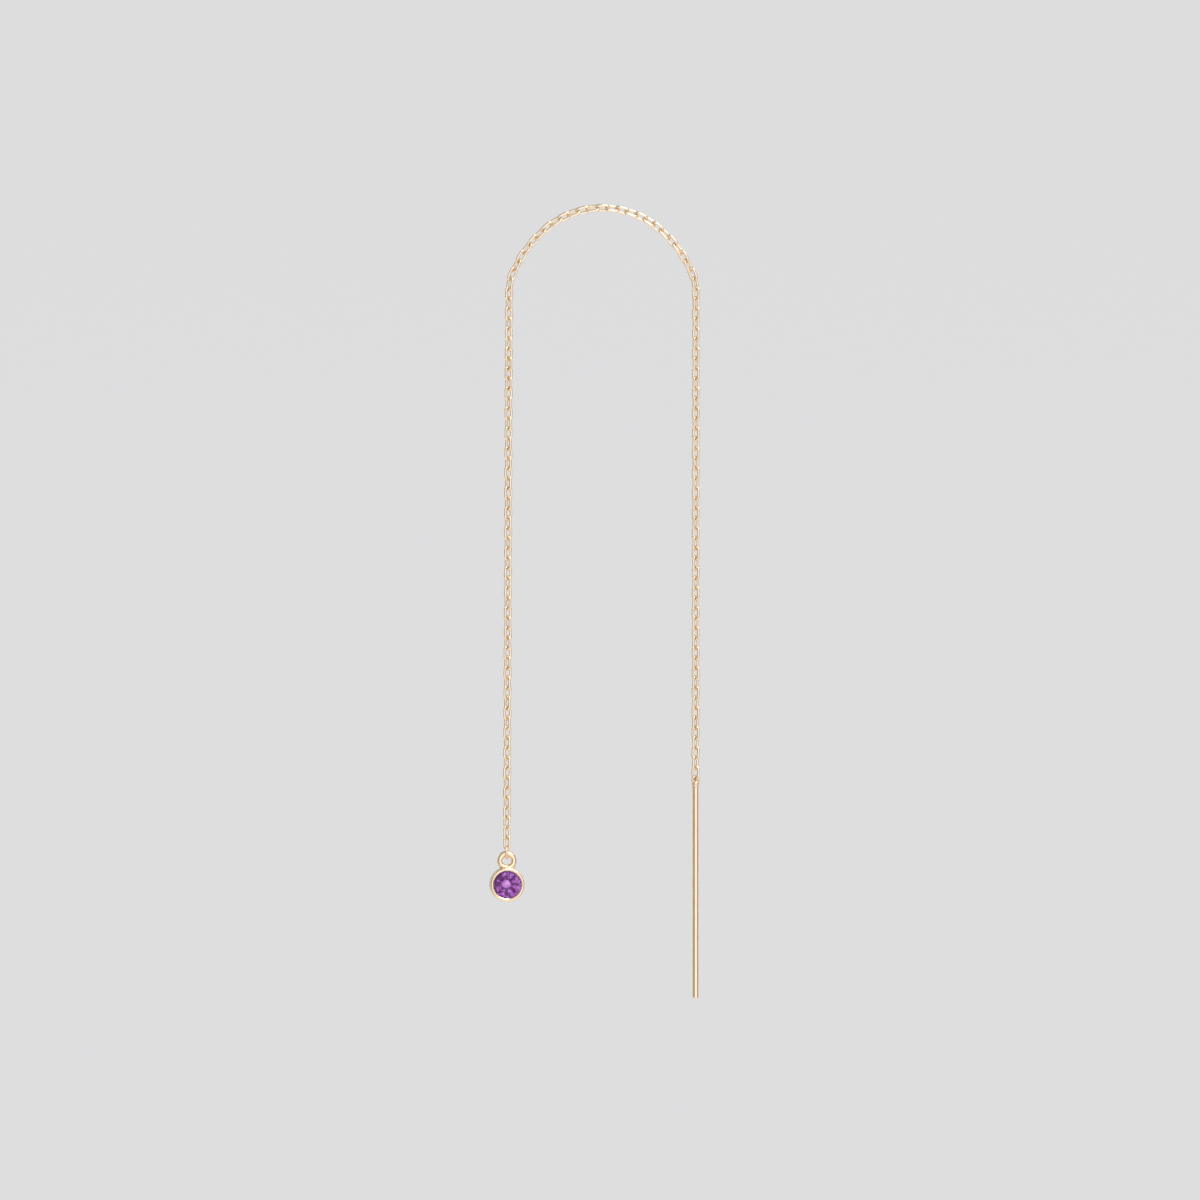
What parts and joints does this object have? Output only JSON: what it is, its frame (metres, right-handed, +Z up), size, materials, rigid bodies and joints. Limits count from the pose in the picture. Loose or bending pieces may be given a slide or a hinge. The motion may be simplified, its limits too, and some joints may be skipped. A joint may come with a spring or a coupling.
{
  "type": "threader earring",
  "caption": "Fine cable chain that hangs through the piercing, with a bezel-set round faceted stone drop at one end and a straight threading bar at the other.",
  "frame": {"origin": "middle of the link at the top of the arch, where the chain lies in the piercing", "axes": "+Z up, the stone's table looks towards -Y, the drop hangs on the -X side and the bar on the +X side"},
  "size_m": [0.0211, 0.0024, 0.0794],
  "materials": {
    "gold": "polished 14 carat gold, warm yellow with a rosy tone",
    "amethyst": "clear purple faceted amethyst, polished"
  },
  "bodies": {
    "root": {"chain": "gold"},
    "ring": {"jump_ring": "gold"},
    "drop": {"bezel_drop": "gold", "faceted_stone": "amethyst"},
    "bar": {"threader_bar": "gold"}
  },
  "joints": [
    {"name": "ring_swing", "type": "hinge", "parent": "root", "child": "ring", "pos_m": [-0.00957, 0, -0.06412], "axis": [0.9994, -0.0349, 0], "range_deg": [-60, 60]},
    {"name": "drop_swing", "type": "hinge", "parent": "ring", "child": "drop", "pos_m": [-0.00957, 0, -0.06521], "axis": [0.0349, 0.9994, 0], "range_deg": [-45, 45]},
    {"name": "bar_swing", "type": "hinge", "parent": "root", "child": "bar", "pos_m": [0.0093, 0, -0.05715], "axis": [0.788, -0.6157, -0.0008], "range_deg": [-80, 80]}
  ]
}
